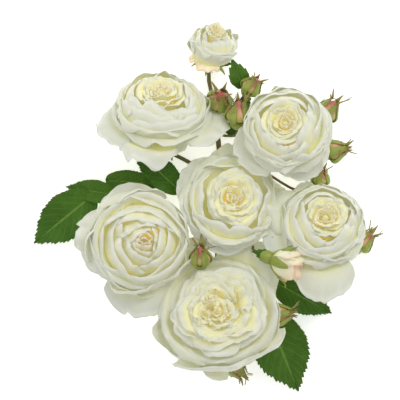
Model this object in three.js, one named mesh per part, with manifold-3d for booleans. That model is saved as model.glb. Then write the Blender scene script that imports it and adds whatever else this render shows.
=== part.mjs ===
// A cut spray of cream garden roses, laid down with its blooms facing up.
// Millimetres, +Z up, +Y towards the small top bloom. The origin is under the middle of the spray,
// on the surface that it rests on.
import * as THREE from "three";
import { mergeVertices } from "three/addons/utils/BufferGeometryUtils.js";
import Module from "manifold-3d";

const wasm = await Module();
wasm.setup();

// Driving dimensions. A place is [share of half the width, share of half the length, height].
const sprayWidth = 221;
const sprayLength = 240;
const bloomScale = 1; // every open bloom's size
const leafScale = 1; // every leaflet's size
const budLength = 19; // hip and closed petals of a large bud
const budRadius = 6.8;
const stemRadius = 3;
const pedicelRadius = 1.6;
const budStalkRadius = 1.1;
const petalThickness = 0.8;
const leafThickness = 0.8;
const sepalThickness = 0.7;
const clearance = 0.3; // between pieces that nearly touch
const hipShare = 0.2; // a calyx's hip as a share of its bloom's depth
const prickleLength = 4;
const prickleRadius = 1.3;
const neck = 4; // how far a stalk runs straight before its flower
const topStalkExtra = 0.4; // the top flower's stalk is this much stouter
const tubeStep = 6; // radii between a stalk's rings
const sides = 8; // of a turned piece

// Outlines of turned pieces from foot to top: [share of the radius, share of the height].
const hipOutline = [[0.35, 0], [1, 0.35], [0.95, 0.65], [0.7, 1]];
const budOutline = [
  [0.3, 0], [0.72, 0.14], [0.66, 0.3], [1, 0.46], [0.93, 0.62], [0.5, 0.84], [0.14, 1],
];
const openingHipOutline = [[0.3, 0], [0.6, 0.4], [0.52, 1]];
const openingPetalOutline = [[0.3, 0], [0.85, 0.25], [1, 0.5], [0.8, 0.75], [0.4, 1]];
const openingHipShare = 0.25;

// Shares of a flower's radius or hip that shape its petals and sepals, and angles in degrees.
const petalForm = { rounding: 0.2, foot: 0.14, swell: 1.95, wrap: 0.5 };
const guardForm = {
  ring: 0.07, gap: 1.5, lift: 1, layer: 0.4, reach: 0.92, halfWidth: 0.66, leave: 56, spread: 4,
};
const hipForm = { ofHip: 0.42, ofRadius: 0.06 };
const sepalForm = {
  ring: 0.45, base: 0.85, reach: 0.5, halfWidth: 0.13, leave: 96, rim: 146, first: 20,
};
const openingSepalForm = {
  ring: 0.3, base: 0.8, reach: 0.95, halfWidth: 0.35, leave: 88, rim: 60, first: 0,
};
const heartForm = {
  width: 0.74, lobes: 5, lobe: 0.05, waist: 0.45, hollow: 0.14, hollowWidth: 0.35, crown: 0.12,
};
const leafForm = { start: 0.04, run: 0.93, belly: 0.8, fold: 0.12 };

const finishes = {
  petal: { color: 0xe8e8dc, roughness: 0.6, metalness: 0 },
  heart: { color: 0xe6dcb4, roughness: 0.6, metalness: 0 },
  calyx: { color: 0x8fa850, roughness: 0.6, metalness: 0 },
  bud: { color: 0x9aa85a, roughness: 0.6, metalness: 0 },
  leaf: { color: 0x35601c, roughness: 0.5, metalness: 0 },
  stem: { color: 0x6f6238, roughness: 0.65, metalness: 0 },
};

// height is the middle of a bloom's face. It leans by lean degrees towards the compass angle toward,
// which counts from +X to +Y. guards are its outermost petals: [compass angle, reach as a share of the
// radius, angle from the flower's axis at the petal's rim].
const blooms = [
  {
    name: "upper_left_bloom", across: -0.28, along: 0.6, height: 39.5, lean: 50, toward: 89,
    radius: 35, depth: 44, guards: [[8, 1.27, 104], [95, 0.75, 76], [186, 1.2, 104], [262, 0.66, 135]],
  },
  {
    name: "upper_right_bloom", across: 0.465, along: 0.405, height: 58, lean: 18, toward: 90,
    radius: 30, depth: 42, guards: [[30, 0.92, 92], [120, 0.95, 92], [205, 1.2, 98], [300, 0.94, 92]],
  },
  {
    name: "middle_bloom", across: 0.125, along: 0.015, height: 47, lean: 16, toward: 60,
    radius: 31, depth: 37, guards: [[20, 0.92, 90], [132, 1.15, 94], [255, 1, 92]],
  },
  {
    name: "left_bloom", across: -0.4, along: -0.19, height: 55, lean: 8, toward: 30,
    radius: 35, depth: 42, guards: [[20, 0.95, 92], [105, 1, 94], [190, 1.05, 94], [276, 1.43, 100]],
  },
  {
    name: "right_bloom", across: 0.665, along: -0.09, height: 53, lean: 20, toward: 80,
    radius: 30, depth: 42, guards: [[10, 0.92, 92], [100, 0.96, 92], [190, 1.27, 98], [275, 1.5, 104]],
  },
  {
    name: "lower_bloom", across: 0.045, along: -0.575, height: 54, lean: 6, toward: 90,
    radius: 40, depth: 42, guards: [[40, 1.03, 94], [135, 0.96, 94], [225, 0.96, 94], [310, 0.93, 94]],
  },
  {
    name: "top_bloom", across: 0.033, along: 0.905, height: 23, lean: 52, toward: 79,
    radius: 17.5, depth: 29, guards: [[60, 0.98, 78], [235, 0.98, 82]],
  },
];

// Buds stand on their own stalks: [share across, share along, height of the foot], lean and toward as
// above, size as a share of a large bud.
const buds = [
  { name: "top_bud_1", foot: [0.04, 0.51, 12], lean: 25, toward: 70, size: 1 },
  { name: "top_bud_2", foot: [0.16, 0.39, 24], lean: 62, toward: 88, size: 1.05 },
  { name: "top_bud_3", foot: [0.2, 0.57, 16], lean: 58, toward: 50, size: 0.85 },
  { name: "right_bud_1", foot: [0.63, 0.42, 22], lean: 70, toward: 52, size: 1 },
  { name: "right_bud_2", foot: [0.65, 0.25, 22], lean: 72, toward: 15, size: 0.95 },
  { name: "right_bud_3", foot: [0.64, 0.07, 20], lean: 60, toward: 85, size: 0.75 },
  { name: "far_right_bud", foot: [0.83, -0.27, 5], lean: 80, toward: 40, size: 0.95 },
  { name: "middle_bud", foot: [-0.055, -0.36, 32], lean: 55, toward: 90, size: 0.9 },
  { name: "lower_right_bud", foot: [0.34, -0.62, 24], lean: 66, toward: 10, size: 0.9 },
  { name: "bottom_bud", foot: [0.1, -0.84, 12], lean: 74, toward: -50, size: 0.9 },
];

const halfOpenBud = {
  name: "half_open_bud", foot: [0.3, -0.285, 36], lean: 68, toward: -22, length: 31, radius: 8.5,
};

// Leaflets run from foot to tip; rise is how far the middle arches up.
const leaflets = [
  { name: "left_end_leaflet", foot: [-0.68, 0.035, 14], tip: [-1.02, -0.215, 0.5], width: 30, rise: 5 },
  { name: "left_side_leaflet_1", foot: [-0.55, 0.035, 14], tip: [-0.83, 0.075, 9], width: 15, rise: 3 },
  { name: "left_side_leaflet_2", foot: [-0.28, 0.09, 12], tip: [-0.61, 0.115, 12], width: 15, rise: 3 },
  { name: "upper_left_leaflet", foot: [-0.17, 0.05, 12], tip: [-0.45, 0.29, 14], width: 19, rise: 3 },
  { name: "top_leaflet", foot: [0.08, 0.36, 10], tip: [0.25, 0.56, 9], width: 15, rise: 2 },
  { name: "bottom_leaf", foot: [0.33, -0.6, 14], tip: [0.51, -1.01, 0.5], width: 36, rise: 6 },
  { name: "lower_right_leaflet", foot: [0.37, -0.43, 15], tip: [0.7, -0.6, 0.5], width: 22, rise: 4 },
];

// Branches of the stem: each is a centreline from its fork to its end. A branch that carries a flower
// or a bud names it, and is finished along that flower's axis.
const fork = {
  low: [0.05, -0.38, stemRadius],
  middle: [0.06, -0.12, stemRadius],
  high: [0.07, 0.1, stemRadius + 0.5],
  top: [0.045, 0.36, 6],
};
const trunk = [[0.04, -0.68, stemRadius], fork.low, fork.middle, fork.high];
const topStalk = [fork.high, fork.top, [0.01, 0.58, 4]];
const branches = [
  { from: fork.high, via: [[-0.1, 0.2, 6]], to: "upper_left_bloom" },
  { from: fork.high, via: [[0.27, 0.19, 8]], to: "upper_right_bloom" },
  { from: fork.middle, via: [], to: "middle_bloom" },
  { from: fork.low, via: [[-0.14, -0.3, 8]], to: "left_bloom" },
  { from: fork.middle, via: [[0.32, -0.17, 6], [0.55, -0.19, 7]], to: "right_bloom" },
  { from: fork.low, via: [[0.13, -0.5, 7]], to: "lower_bloom" },
  { from: topStalk[2], via: [], to: "top_bloom" },
  { from: fork.top, via: [[0.045, 0.45, 6]], to: "top_bud_1" },
  { from: fork.top, via: [[0.12, 0.35, 14]], to: "top_bud_2" },
  { from: fork.top, via: [[0.15, 0.5, 10]], to: "top_bud_3" },
  { from: [0.27, 0.19, 8], via: [[0.46, 0.23, 12]], to: "right_bud_1" },
  { from: [0.46, 0.23, 12], via: [[0.55, 0.24, 17]], to: "right_bud_2" },
  { from: [0.27, 0.19, 8], via: [[0.5, 0.06, 10], [0.61, 0.04, 14]], to: "right_bud_3" },
  { from: [0.55, -0.19, 7], via: [[0.72, -0.27, 7]], to: "far_right_bud" },
  { from: fork.low, via: [[-0.02, -0.41, 16]], to: "middle_bud" },
  { from: [0.13, -0.5, 7], via: [[0.25, -0.6, 16]], to: "lower_right_bud" },
  { from: trunk[0], via: [[0.06, -0.77, 7]], to: "bottom_bud" },
  { from: [0.32, -0.17, 6], via: [[0.25, -0.24, 22]], to: "half_open_bud" },
];
// Leaf stalks reach the feet of their leaflets, and stop short of the leaflets themselves.
const leafStalks = [
  [[-0.14, -0.3, 8], [-0.3, -0.05, 9], [-0.5, 0.025, 11], [-0.66, 0.037, 12.5]],
  [fork.high, [-0.06, 0.06, 8], [-0.13, 0.045, 10]],
  [[0.13, -0.5, 7], [0.24, -0.56, 9], [0.315, -0.595, 12]],
  [[0.32, -0.17, 6], [0.35, -0.3, 11], [0.36, -0.4, 13.5]],
];
// A prickle stands on the trunk: [share along the trunk, compass angle].
const prickles = [[0.12, 20], [0.3, 165], [0.55, 10], [0.72, 150], [0.9, 35]];

const degrees = THREE.MathUtils.degToRad;

function place([across, along, height]) {
  return new THREE.Vector3((across * sprayWidth) / 2, (along * sprayLength) / 2, height);
}

function axisOf({ lean, toward }) {
  const flat = Math.sin(degrees(lean));
  return new THREE.Vector3(
    flat * Math.cos(degrees(toward)), flat * Math.sin(degrees(toward)), Math.cos(degrees(lean)),
  );
}

// A flower's own group: its origin is the foot of the hip, and its +Z is the flower's axis.
function groupAt(foot, axis) {
  const group = new THREE.Group();
  group.position.copy(foot);
  group.quaternion.setFromUnitVectors(new THREE.Vector3(0, 0, 1), axis);
  group.updateMatrixWorld(true);
  return group;
}

// Solids

function solidOf(geometry) {
  const bare = geometry.clone();
  bare.deleteAttribute("normal");
  bare.deleteAttribute("uv");
  const merged = mergeVertices(bare, 1e-4);
  return new wasm.Manifold(new wasm.Mesh({
    numProp: 3,
    vertProperties: new Float32Array(merged.attributes.position.array),
    triVerts: new Uint32Array(merged.index.array),
  }));
}

function geometryOf(solid) {
  const { numProp, vertProperties, triVerts } = solid.getMesh();
  const geometry = new THREE.BufferGeometry();
  geometry.setAttribute("position", new THREE.BufferAttribute(vertProperties, numProp));
  geometry.setIndex(new THREE.BufferAttribute(triVerts, 1));
  geometry.computeVertexNormals();
  return geometry;
}

function union(solids) {
  return solids.reduce((whole, next) => whole.add(next));
}

// A cut can leave loose slivers beside the piece itself.
function largestBody(solid) {
  const bodies = solid.decompose();
  return bodies.reduce((best, body) => (body.volume() > best.volume() ? body : best));
}

// A thin closed wall around the surface point(u, v), with u from -1 to 1 and v from 0 to 1 over its
// reach. grow thickens it and lengthens it at both ends.
function wall({ point, reach, thickness, across, along }, grow) {
  const small = 1e-3;
  const extra = grow / reach;
  const positions = [];
  for (const side of [0.5, -0.5]) {
    for (let j = 0; j <= along; j += 1) {
      for (let i = 0; i <= across; i += 1) {
        const u = (2 * i) / across - 1;
        const v = (j / along) * (1 + 2 * extra) - extra;
        const alongU = point(u + small, v).sub(point(u - small, v));
        const alongV = point(u, v + small).sub(point(u, v - small));
        const normal = alongU.cross(alongV).normalize();
        positions.push(...point(u, v).addScaledVector(normal, side * (thickness + 2 * grow)));
      }
    }
  }
  const row = across + 1;
  const layer = row * (along + 1);
  const index = [];
  const quad = (a, b, c, d) => index.push(a, b, c, a, c, d);
  for (let j = 0; j < along; j += 1) {
    for (let i = 0; i < across; i += 1) {
      const a = j * row + i;
      quad(a, a + 1, a + 1 + row, a + row);
      quad(layer + a, layer + a + row, layer + a + 1 + row, layer + a + 1);
    }
  }
  for (let i = 0; i < across; i += 1) {
    const top = along * row + i;
    quad(i + 1, i, layer + i, layer + i + 1);
    quad(top, top + 1, layer + top + 1, layer + top);
  }
  for (let j = 0; j < along; j += 1) {
    const left = j * row;
    const right = left + across;
    quad(left, left + row, layer + left + row, layer + left);
    quad(right + row, right, layer + right, layer + right + row);
  }
  const geometry = new THREE.BufferGeometry();
  geometry.setAttribute("position", new THREE.Float32BufferAttribute(positions, 3));
  geometry.setIndex(index);
  return geometry;
}

// A closed turned piece; its outline's foot and top stand at foot and foot + height.
function turned(outline, { radius, foot = 0, height }, grow) {
  const ends = { 0: -grow, 1: grow };
  const rings = outline.map(([r, h]) => (
    new THREE.Vector2(r * radius + grow, foot + h * height + (ends[h] ?? 0))
  ));
  const start = new THREE.Vector2(0, rings[0].y);
  const end = new THREE.Vector2(0, rings.at(-1).y);
  return new THREE.LatheGeometry([start, ...rings, end], sides).rotateX(Math.PI / 2);
}

function tube(points, radius, grow) {
  const path = new THREE.CatmullRomCurve3(points, false, "centripetal");
  const section = new THREE.Shape().absarc(0, 0, radius + grow, 0, 2 * Math.PI);
  const steps = Math.max(2, Math.round(path.getLength() / (tubeStep * radius)));
  return new THREE.ExtrudeGeometry(section, {
    steps, curveSegments: 3, bevelEnabled: false, extrudePath: path,
  });
}

// Petals and sepals spring from a ring round the axis. Their angle from the axis goes evenly from
// leave at the foot to rim at the far edge, and they are narrow at the foot and round at the far edge.
function petal({ ring, base, reach, halfWidth, leave, rim, compass, thickness, across, along }, grow) {
  const start = degrees(leave);
  const bend = degrees(rim) - start;
  const point = (u, v) => {
    const s = v * (1 - petalForm.rounding * u * u);
    const angle = start + bend * s;
    const r = ring + (reach * (Math.cos(start) - Math.cos(angle))) / bend;
    const z = base + (reach * (Math.sin(angle) - Math.sin(start))) / bend;
    const swell = (1 - petalForm.foot) * Math.sin(petalForm.swell * s);
    const half = halfWidth * (petalForm.foot + swell) + grow;
    const around = degrees(compass) + (u * half) / Math.max(r, petalForm.wrap * halfWidth);
    return new THREE.Vector3(r * Math.cos(around), r * Math.sin(around), z);
  };
  return wall({ point, reach, thickness, across, along }, grow);
}

// Five sepals of one form on a hip; size is what their reach and width are shares of.
function sepals(form, { hip, ring, size }, grow) {
  return [0, 1, 2, 3, 4].map((k) => petal({
    ring: form.ring * ring,
    base: form.base * hip,
    reach: form.reach * size,
    halfWidth: form.halfWidth * size,
    leave: form.leave,
    rim: form.rim,
    compass: 72 * k + form.first,
    thickness: sepalThickness,
    across: 1,
    along: 2,
  }, grow));
}

function calyx({ radius, depth }, grow) {
  const hip = hipShare * depth;
  const hipRadius = hipForm.ofHip * hip + hipForm.ofRadius * radius;
  const body = turned(hipOutline, { radius: hipRadius, height: hip }, grow);
  const leaves = sepals(sepalForm, { hip, ring: hipRadius, size: radius }, grow);
  return union([body, ...leaves].map(solidOf));
}

function innerPetals({ radius, depth }, grow) {
  const base = hipShare * depth + clearance;
  const head = heartForm.width * radius;
  const half = (depth - base) / 2;
  const geometry = new THREE.SphereGeometry(1, 20, 8).rotateX(Math.PI / 2);
  const position = geometry.attributes.position;
  for (let i = 0; i < position.count; i += 1) {
    const [x, y, z] = [position.getX(i), position.getY(i), position.getZ(i)];
    const ring = Math.hypot(x, y);
    const lobe = 1 + heartForm.lobe * ring * ring * Math.cos(heartForm.lobes * Math.atan2(y, x));
    const waist = z < 0 ? 1 + heartForm.waist * z : 1;
    const dip = Math.exp(-((ring / heartForm.hollowWidth) ** 2));
    const hollow = z > 0 ? heartForm.hollow * half * dip : 0;
    const crown = ring + heartForm.crown * (1 - z * z);
    const spread = head * waist * lobe * crown + grow * Math.min(1, 4 * ring);
    const turn = ring > 1e-6 ? spread / ring : 0;
    position.setXYZ(i, x * turn, y * turn, base + half * (1 + z) - hollow + grow * z);
  }
  return solidOf(geometry);
}

function guardPetal({ radius, depth }, [compass, share, rim], layer, grow) {
  return solidOf(petal({
    ring: guardForm.ring * radius + guardForm.gap,
    base: hipShare * depth + guardForm.lift + guardForm.layer * layer,
    reach: guardForm.reach * share * radius,
    halfWidth: guardForm.halfWidth * radius,
    leave: guardForm.leave + guardForm.spread * layer,
    rim,
    compass,
    thickness: petalThickness,
    across: 4,
    along: 4,
  }, grow));
}

function closedBud({ size }, grow) {
  return solidOf(turned(budOutline, { radius: budRadius * size, height: budLength * size }, grow));
}

function halfOpenCalyx({ length, radius }, grow) {
  const hip = openingHipShare * length;
  const body = turned(openingHipOutline, { radius, height: hip }, grow);
  const leaves = sepals(openingSepalForm, { hip, ring: radius, size: radius }, grow);
  return union([body, ...leaves].map(solidOf));
}

function halfOpenPetals({ length, radius }, grow) {
  const foot = openingHipShare * length + clearance;
  return solidOf(turned(openingPetalOutline, { radius, foot, height: length - foot }, grow));
}

function leaflet({ foot, tip, width, rise }, grow) {
  const from = place(foot);
  const run = place(tip).sub(from);
  const longer = run.clone().multiplyScalar(leafScale);
  const side = new THREE.Vector3(-run.y, run.x, 0).normalize();
  const point = (u, v) => {
    const at = (leafForm.start + leafForm.run * v) ** leafForm.belly;
    const half = 0.5 * width * leafScale * Math.sin(Math.PI * at) + grow;
    const lift = rise * Math.sin(Math.PI * v) + leafForm.fold * half * u * u;
    return from.clone()
      .addScaledVector(longer, v)
      .addScaledVector(side, u * half)
      .add(new THREE.Vector3(0, 0, lift));
  };
  const reach = longer.length();
  return solidOf(wall({ point, reach, thickness: leafThickness, across: 2, along: 6 }, grow));
}

function prickle([share, compass], trunkPath, grow) {
  const root = trunkPath.getPointAt(share);
  return new THREE.ConeGeometry(prickleRadius + grow, prickleLength + stemRadius, 5)
    .translate(0, (prickleLength + stemRadius) / 2, 0)
    .rotateZ(degrees(compass) - Math.PI / 2)
    .translate(root.x, root.y, root.z);
}

// The flowers' and buds' own groups, and the point where each one's stalk ends.
const stalkEnds = new Map();
const rose = new THREE.Group();
const pieces = [];

function addFlowerGroup(name, foot, axis) {
  const group = groupAt(foot, axis);
  rose.add(group);
  stalkEnds.set(name, { foot, axis });
  return group;
}

function addPiece(name, finish, group, build) {
  pieces.push({ name, finish, group, build });
}

function addBloom(spec) {
  const bloom = { ...spec, radius: spec.radius * bloomScale, depth: spec.depth * bloomScale };
  const axis = axisOf(bloom);
  const face = place([bloom.across, bloom.along, bloom.height * bloomScale]);
  const group = addFlowerGroup(bloom.name, face.addScaledVector(axis, -bloom.depth), axis);
  addPiece(`${bloom.name}_calyx`, "calyx", group, (grow) => calyx(bloom, grow));
  addPiece(`${bloom.name}_inner_petals`, "heart", group, (grow) => innerPetals(bloom, grow));
  bloom.guards.forEach((guard, k) => {
    const name = `${bloom.name}_guard_petal_${k + 1}`;
    addPiece(name, "petal", group, (grow) => guardPetal(bloom, guard, k % 2, grow));
  });
}

function addBud(bud) {
  const group = addFlowerGroup(bud.name, place(bud.foot), axisOf(bud));
  addPiece(bud.name, "bud", group, (grow) => closedBud(bud, grow));
}

function addHalfOpenBud(bud) {
  const group = addFlowerGroup(bud.name, place(bud.foot), axisOf(bud));
  addPiece(`${bud.name}_calyx`, "calyx", group, (grow) => halfOpenCalyx(bud, grow));
  addPiece(`${bud.name}_petals`, "petal", group, (grow) => halfOpenPetals(bud, grow));
}

function stem(grow) {
  const trunkPoints = trunk.map(place);
  const trunkPath = new THREE.CatmullRomCurve3(trunkPoints, false, "centripetal");
  const parts = [
    tube(trunkPoints, stemRadius, grow),
    tube(topStalk.map(place), pedicelRadius + topStalkExtra, grow),
    ...leafStalks.map((points) => tube(points.map(place), budStalkRadius, grow)),
    ...prickles.map((spec) => prickle(spec, trunkPath, grow)),
  ];
  for (const { from, via, to } of branches) {
    const { foot, axis } = stalkEnds.get(to);
    const end = foot.clone().addScaledVector(axis, -clearance);
    const before = foot.clone().addScaledVector(axis, -neck);
    const radius = to.endsWith("bloom") ? pedicelRadius : budStalkRadius;
    parts.push(tube([place(from), ...via.map(place), before, end], radius, grow));
  }
  return union(parts.map(solidOf));
}

blooms.forEach(addBloom);
addHalfOpenBud(halfOpenBud);
buds.forEach(addBud);
leaflets.forEach((spec) => addPiece(spec.name, "leaf", rose, (grow) => leaflet(spec, grow)));
addPiece("stem", "stem", rose, stem);

// Pieces give way in this order: stem, calyxes, buds, inner petals, guard petals, leaves.
const order = ["stem", "calyx", "bud", "heart", "petal", "leaf"];
pieces.sort((a, b) => order.indexOf(a.finish) - order.indexOf(b.finish));

function boxesMeet(a, b) {
  return [0, 1, 2].every((k) => a.min[k] < b.max[k] && b.min[k] < a.max[k]);
}

// Each piece is cut clear of the pieces before it, and kept in its own group's frame.
const placed = [];
for (const { name, finish, group, build } of pieces) {
  const toWorld = group.matrixWorld;
  let solid = build(0).transform(toWorld.elements);
  const grown = build(clearance).transform(toWorld.elements);
  for (const before of placed) {
    if (boxesMeet(solid.boundingBox(), before.boundingBox())) {
      solid = solid.subtract(before);
    }
  }
  placed.push(grown);
  const own = largestBody(solid).transform(toWorld.clone().invert().elements);
  const mesh = new THREE.Mesh(geometryOf(own), new THREE.MeshStandardMaterial(finishes[finish]));
  mesh.name = name;
  group.add(mesh);
}

// The origin goes under the middle of the spray, at the height of its lowest point.
const box = new THREE.Box3().setFromObject(rose, true);
const middle = box.getCenter(new THREE.Vector3());
rose.position.set(-middle.x, -middle.y, -box.min.z);
rose.updateMatrixWorld(true);

export default rose;
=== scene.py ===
import math

import bpy
import numpy as np
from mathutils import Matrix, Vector


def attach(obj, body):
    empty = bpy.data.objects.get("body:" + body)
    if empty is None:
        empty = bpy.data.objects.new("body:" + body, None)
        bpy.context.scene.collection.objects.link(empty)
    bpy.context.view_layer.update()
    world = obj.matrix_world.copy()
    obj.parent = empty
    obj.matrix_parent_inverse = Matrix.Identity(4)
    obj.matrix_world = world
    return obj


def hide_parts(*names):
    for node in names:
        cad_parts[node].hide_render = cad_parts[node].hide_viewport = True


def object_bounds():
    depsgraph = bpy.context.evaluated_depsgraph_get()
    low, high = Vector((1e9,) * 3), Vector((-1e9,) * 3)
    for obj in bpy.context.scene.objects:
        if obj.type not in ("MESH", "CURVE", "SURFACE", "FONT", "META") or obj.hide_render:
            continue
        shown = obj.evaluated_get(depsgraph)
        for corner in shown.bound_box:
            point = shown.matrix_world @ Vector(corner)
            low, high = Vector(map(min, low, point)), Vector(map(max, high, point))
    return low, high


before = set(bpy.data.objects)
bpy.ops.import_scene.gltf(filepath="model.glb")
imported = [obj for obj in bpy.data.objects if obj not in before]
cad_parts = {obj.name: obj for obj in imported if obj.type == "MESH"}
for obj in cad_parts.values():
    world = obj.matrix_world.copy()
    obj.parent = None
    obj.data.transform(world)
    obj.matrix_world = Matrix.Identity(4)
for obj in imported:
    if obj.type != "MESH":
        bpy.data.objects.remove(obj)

bl_info = {
    "name": "Cut rose spray",
    "version": (1, 0, 0),
    "blender": (4, 5, 0),
    "location": "3D View > Sidebar > Rose",
    "description": "Models the petals, buds, leaflets and stem of a cut rose spray around its frame",
    "category": "Object",
}

FRAME_LOW, FRAME_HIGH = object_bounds()
MM = 0.001
HIP_SHARE = 0.2  # height of a bloom's hip over the bloom's depth
GOLDEN_TURN = math.radians(137.5)  # turn from one whorl to the next
CLEARANCE = 0.4 * MM  # lowest point of any petal, sepal or leaf over the surface
SURROUND = 0.56  # strength of the even light, of the sky and of the floor itself
BLOOMS = sorted(name[:-13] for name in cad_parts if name.endswith("_inner_petals"))
GUARDS = sorted(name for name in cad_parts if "_guard_petal_" in name)
BUDS = sorted(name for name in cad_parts
              if "_bud" in name and not name.startswith("half_open"))
LEAFLETS = sorted(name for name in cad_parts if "leaf" in name)


# ---- sizes and colours

def length(name, description, default, low=0.0, high=0.05):
    """A property that is a length in metres."""
    return bpy.props.FloatProperty(name=name, description=description, default=default,
                                   min=low, max=high, unit="LENGTH", precision=5)


def colour(name, description, default):
    """A property that is a linear colour."""
    return bpy.props.FloatVectorProperty(name=name, description=description, default=default,
                                         size=3, min=0.0, max=1.0, subtype="COLOR")


class RoseSizes(bpy.types.PropertyGroup):
    """The sizes that shape the spray."""

    petal_thickness: length("Petal thickness", "Thickness of every open petal", 0.0004)
    rim_roll: length("Rim roll", "How far the rim of an outer petal rolls back", 0.0042)
    ruffle: length("Ruffle", "Height of the waves along a petal's rim", 0.0008)
    sepal_thickness: length("Sepal thickness", "Thickness of a sepal", 0.0005)
    leaf_thickness: length("Leaf thickness", "Thickness of a leaflet", 0.0004)
    leaf_relief: length("Leaf relief", "How far the blade swells between its veins", 0.0006)
    leaf_teeth: bpy.props.IntProperty(name="Leaf teeth", default=19, min=4, max=40,
                                      description="Teeth on each side of a leaflet")
    bark_grain: length("Bark grain", "Size of a voxel when the stem is remeshed",
                       0.0006, 0.0003, 0.002)


class RoseColours(bpy.types.PropertyGroup):
    """The colours of the spray's finishes."""

    petal: colour("Petal", "Open petal near its rim", (0.63, 0.64, 0.565))
    # The guard rim colour is darker and greyer than the petal colour: painted shade on the outer
    # petals, which face up into the full light.
    guard: colour("Guard petal", "Outer petal near its rim", (0.57, 0.59, 0.55))
    petal_shade: colour("Petal middle", "Open petal below its rim", (0.82, 0.80, 0.44))
    petal_base: colour("Petal base", "Foot of an open petal", (0.94, 0.73, 0.13))
    heart_edge: colour("Heart edge", "Rim of the smallest petals", (0.90, 0.70, 0.46))
    bud_blush: colour("Bud blush", "Tip of a closed bud", (0.56, 0.15, 0.12))
    bud_green: colour("Bud green", "Sepals and hip of a bud", (0.31, 0.34, 0.05))
    leaf: colour("Leaf", "Blade of a leaflet", (0.040, 0.115, 0.012))
    leaf_vein: colour("Leaf vein", "Veins of a leaflet", (0.19, 0.35, 0.075))
    bark: colour("Bark", "Woody stem", (0.155, 0.085, 0.045))
    bark_green: colour("Green bark", "Young stem", (0.14, 0.16, 0.04))


def sizes():
    return bpy.context.scene.rose_sizes


def colours():
    return bpy.context.scene.rose_colours


# ---- shader maths

class Number:
    """A shader socket that holds a number, with Python's arithmetic."""

    def __init__(self, shade, socket):
        self.shade = shade
        self.socket = socket

    def maths(self, operation, first, second=None):
        inputs = {0: first} if second is None else {0: first, 1: second}
        return self.shade.number("ShaderNodeMath", {"operation": operation}, inputs)

    def __add__(self, other):
        return self.maths("ADD", self, other)

    __radd__ = __add__

    def __sub__(self, other):
        return self.maths("SUBTRACT", self, other)

    def __rsub__(self, other):
        return self.maths("SUBTRACT", other, self)

    def __mul__(self, other):
        return self.maths("MULTIPLY", self, other)

    __rmul__ = __mul__

    def __abs__(self):
        return self.maths("ABSOLUTE", self)

    def fraction(self):
        return self.maths("FRACT", self)

    def step(self, low, high):
        """Smoothly 0 below low and 1 above high."""
        settings = {"interpolation_type": "SMOOTHSTEP"}
        inputs = {"Value": self, "From Min": low, "From Max": high, "To Min": 0.0, "To Max": 1.0}
        return self.shade.number("ShaderNodeMapRange", settings, inputs)


class Shade:
    """One material's nodes."""

    def __init__(self, name):
        self.material = bpy.data.materials.new(name)
        self.material.use_nodes = True
        self.tree = self.material.node_tree
        self.surface = self.tree.nodes["Principled BSDF"]
        place = self.node("ShaderNodeTexCoord")
        self.place = place.outputs["Object"]
        self.uv = self.node("ShaderNodeUVMap", {"uv_map": "UVMap"}).outputs[0]

    def node(self, kind, settings=None, inputs=None):
        """A node of one kind, its settings made first and its sockets after."""
        node = self.tree.nodes.new(kind)
        for key, value in (settings or {}).items():
            setattr(node, key, value)
        for key, value in (inputs or {}).items():
            self.feed(node.inputs[key], value)
        return node

    def feed(self, socket, value):
        if isinstance(value, Number):
            value = value.socket
        if isinstance(value, bpy.types.NodeSocket):
            self.tree.links.new(value, socket)
        elif socket.type == "RGBA":
            socket.default_value = (*value, 1.0)
        else:
            socket.default_value = value

    def number(self, kind, settings=None, inputs=None, output=0):
        return Number(self, self.node(kind, settings, inputs).outputs[output])

    def axes(self, vector):
        parts = self.node("ShaderNodeSeparateXYZ", {}, {0: vector})
        return [Number(self, parts.outputs[k]) for k in range(3)]

    def noise(self, scale, detail=2.0, vector=None, stretch=None, rough=0.5):
        vector = vector or self.place
        if stretch:
            mapping = self.node("ShaderNodeMapping", {}, {"Vector": vector, "Scale": stretch})
            vector = mapping.outputs[0]
        inputs = {"Vector": vector, "Scale": scale, "Detail": detail, "Roughness": rough}
        return self.number("ShaderNodeTexNoise", {}, inputs)

    def attribute(self, name):
        return self.number("ShaderNodeAttribute", {"attribute_name": name}, {}, "Fac")

    def mix(self, amount, first, second, blend="MIX"):
        settings = {"data_type": "RGBA", "blend_type": blend, "clamp_factor": True}
        return self.node("ShaderNodeMix", settings, {0: amount, 6: first, 7: second}).outputs[2]

    def bump(self, height, strength, distance):
        inputs = {"Strength": strength, "Distance": distance, "Height": height}
        return self.node("ShaderNodeBump", {}, inputs).outputs[0]

    def finish(self, **sockets):
        """Set or link the surface shader's sockets; names are given with underscores."""
        for key, value in sockets.items():
            self.feed(self.surface.inputs[key.replace("_", " ")], value)
        return self.material


def once(make):
    """A material is made the first time that a piece asks for it."""
    made = {}

    def ask():
        if "material" not in made:
            made["material"] = make()
        return made["material"]
    return ask


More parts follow.
